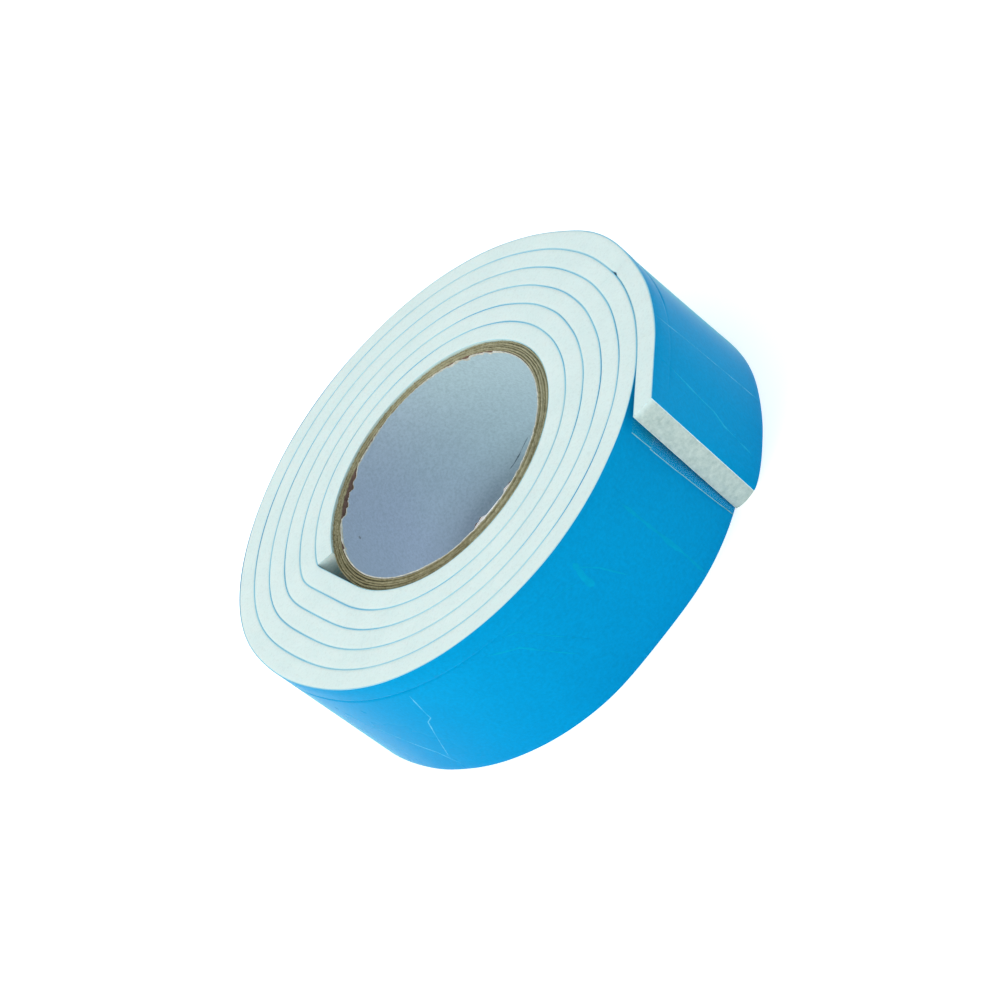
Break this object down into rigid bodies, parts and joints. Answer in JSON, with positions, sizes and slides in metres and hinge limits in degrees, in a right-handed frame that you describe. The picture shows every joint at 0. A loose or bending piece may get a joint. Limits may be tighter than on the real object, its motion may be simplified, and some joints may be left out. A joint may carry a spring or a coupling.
{
  "type": "foam tape roll",
  "caption": "Roll of double-sided foam mounting tape with a blue release liner, wound on a brown paper core; the loose end lifts and its liner peels back.",
  "frame": {"origin": "on the axis of the core's bore, at the face the roll lies on", "axes": "+Z along the bore, up out of the face where the core lies 0.2 mm below the foam; the tape's free end points out at about -57 degrees from +X, and the tape winds clockwise seen from +Z"},
  "size_m": [0.0792, 0.0776, 0.024],
  "materials": {
    "kraft_paper": "matt brown paper plies, fuzzy at the cut edge",
    "lining_paper": "matt bluish white paper",
    "foam": "matt white closed-cell foam with fine pores",
    "adhesive": "tacky, slightly milky adhesive coat",
    "liner_film": "glossy blue release film",
    "clear_film": "clear film"
  },
  "bodies": {
    "root": {"core_lining": "lining_paper", "core_ply_1": "kraft_paper", "core_ply_2": "kraft_paper", "core_ply_3": "kraft_paper", "core_ply_4": "kraft_paper", "core_ply_5": "kraft_paper", "inner_adhesive_wound": "adhesive", "foam_wound": "foam", "outer_adhesive_wound": "adhesive", "liner_wound": "liner_film"},
    "tail_1": {"inner_adhesive_tail_1": "adhesive", "foam_tail_1": "foam", "outer_adhesive_tail_1": "adhesive", "liner_tail_1": "liner_film"},
    "tail_2": {"inner_adhesive_tail_2": "adhesive", "foam_tail_2": "foam", "outer_adhesive_tail_2": "adhesive", "liner_tail_2": "liner_film"},
    "tail_3": {"inner_adhesive_tail_3": "adhesive", "foam_tail_3": "foam", "outer_adhesive_tail_3": "adhesive", "liner_tail_3": "liner_film"},
    "tail_4": {"inner_adhesive_tail_4": "adhesive", "foam_tail_4": "foam", "outer_adhesive_tail_4": "adhesive", "liner_tail_4": "liner_film", "starter_film": "clear_film", "starter_patch": "clear_film"},
    "liner_flap": {"liner_flap": "liner_film"}
  },
  "joints": [
    {"name": "tail_bend_1", "type": "hinge", "parent": "root", "child": "tail_1", "pos_m": [0.03984, -0.00702, 0.012], "axis": [0, 0, 1], "range_deg": [0, 20], "stiffness_Nm_per_rad": 0.0002},
    {"name": "tail_bend_2", "type": "hinge", "parent": "tail_1", "child": "tail_2", "pos_m": [0.03794, -0.01403, 0.012], "axis": [0, 0, 1], "range_deg": [0, 20], "stiffness_Nm_per_rad": 0.0002},
    {"name": "tail_bend_3", "type": "hinge", "parent": "tail_2", "child": "tail_3", "pos_m": [0.03482, -0.02059, 0.012], "axis": [0, 0, 1], "range_deg": [0, 20], "stiffness_Nm_per_rad": 0.0002},
    {"name": "tail_bend_4", "type": "hinge", "parent": "tail_3", "child": "tail_4", "pos_m": [0.03057, -0.02648, 0.012], "axis": [0, 0, 1], "range_deg": [0, 20], "stiffness_Nm_per_rad": 0.0002},
    {"name": "liner_peel", "type": "hinge", "parent": "tail_4", "child": "liner_flap", "pos_m": [0.02999, -0.02716, 0.012], "axis": [0, 0, 1], "range_deg": [0, 150], "stiffness_Nm_per_rad": 0.000002}
  ],
  "couplings": [
    {"joint": "tail_bend_2", "follows": "tail_bend_1", "ratio": 1},
    {"joint": "tail_bend_3", "follows": "tail_bend_1", "ratio": 1},
    {"joint": "tail_bend_4", "follows": "tail_bend_1", "ratio": 1}
  ]
}
